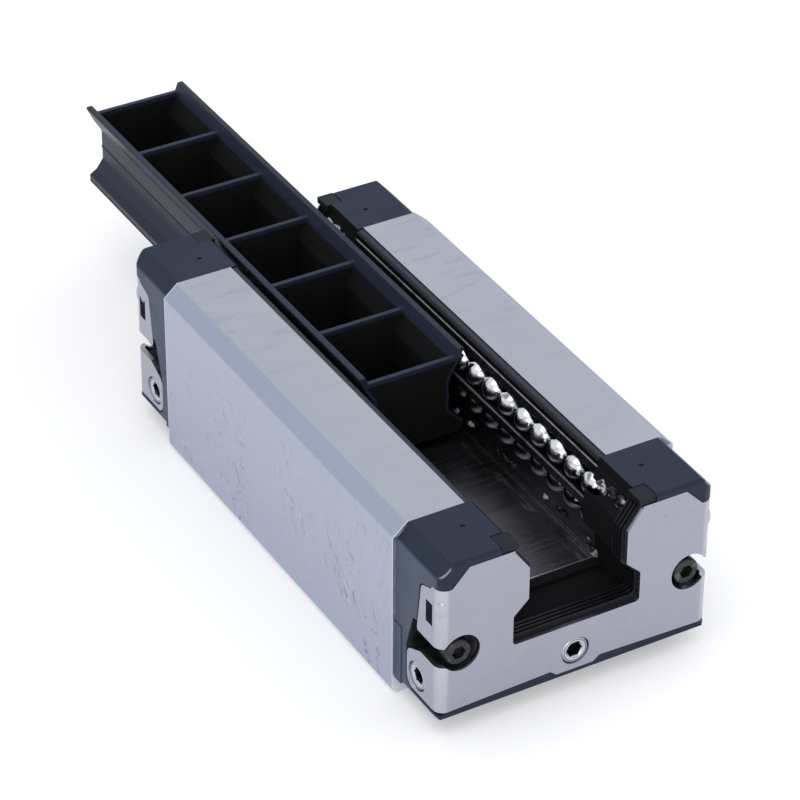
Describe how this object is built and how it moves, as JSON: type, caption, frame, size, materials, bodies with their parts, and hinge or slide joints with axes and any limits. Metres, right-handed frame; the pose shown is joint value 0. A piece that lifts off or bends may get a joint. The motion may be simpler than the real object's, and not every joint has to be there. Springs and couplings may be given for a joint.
{
  "type": "linear guide carriage",
  "caption": "Narrow profiled-rail carriage, rail side up: steel body, ball rows, black end caps with wrap-round steel plates, and a plastic mounting arbor drawn part-way out.",
  "frame": {"origin": "centre of the mounting face, midway between its four threads", "axes": "+X across the block, +Y along the rail towards the end where the arbor stands out, +Z from the mounting face to the open rail side"},
  "size_m": [0.06, 0.1794, 0.0384],
  "materials": {
    "bearing_steel": "ground, fine cross grain",
    "hardened_steel": "ground raceway steel, oiled",
    "ball_steel": "polished bearing balls",
    "stainless_sheet": "rolled stainless sheet, satin",
    "cap_plastic": "moulded black, fine texture",
    "black_plastic": "moulded black, greased",
    "seal_rubber": "black, smooth",
    "arbor_plastic": "moulded black, satin",
    "black_oxide_screw": "black oxide, oiled",
    "bright_screw": "bright zinc or stainless"
  },
  "bodies": {
    "carriage": {"runner_body": "bearing_steel", "raceway_upper_left": "hardened_steel", "raceway_lower_left": "hardened_steel", "raceway_upper_right": "hardened_steel", "raceway_lower_right": "hardened_steel", "ball_loop_upper_left": "ball_steel", "ball_loop_lower_left": "ball_steel", "ball_loop_upper_right": "ball_steel", "ball_loop_lower_right": "ball_steel", "return_tube_upper_left": "black_plastic", "return_tube_lower_left": "black_plastic", "return_tube_upper_right": "black_plastic", "return_tube_lower_right": "black_plastic", "ball_strip_upper_left": "black_plastic", "ball_strip_middle_left": "black_plastic", "ball_strip_lower_left": "black_plastic", "ball_strip_upper_right": "black_plastic", "ball_strip_middle_right": "black_plastic", "ball_strip_lower_right": "black_plastic", "side_seal_left": "seal_rubber", "side_seal_right": "seal_rubber", "deflector_front": "cap_plastic", "deflector_rear": "cap_plastic", "end_cap_front": "cap_plastic", "end_cap_rear": "cap_plastic", "end_seal_front": "seal_rubber", "end_seal_rear": "seal_rubber", "threaded_plate_front": "stainless_sheet", "threaded_plate_rear": "stainless_sheet", "flange_screws_front": "black_oxide_screw", "flange_screws_rear": "black_oxide_screw", "port_screws_front": "bright_screw", "port_screws_rear": "bright_screw"},
    "arbor": {"mounting_arbor": "arbor_plastic"}
  },
  "joints": [
    {"name": "arbor_slide", "type": "slide", "parent": "carriage", "child": "arbor", "axis": [0, 1, 0], "range_m": [-0.0591, 0.062]}
  ]
}
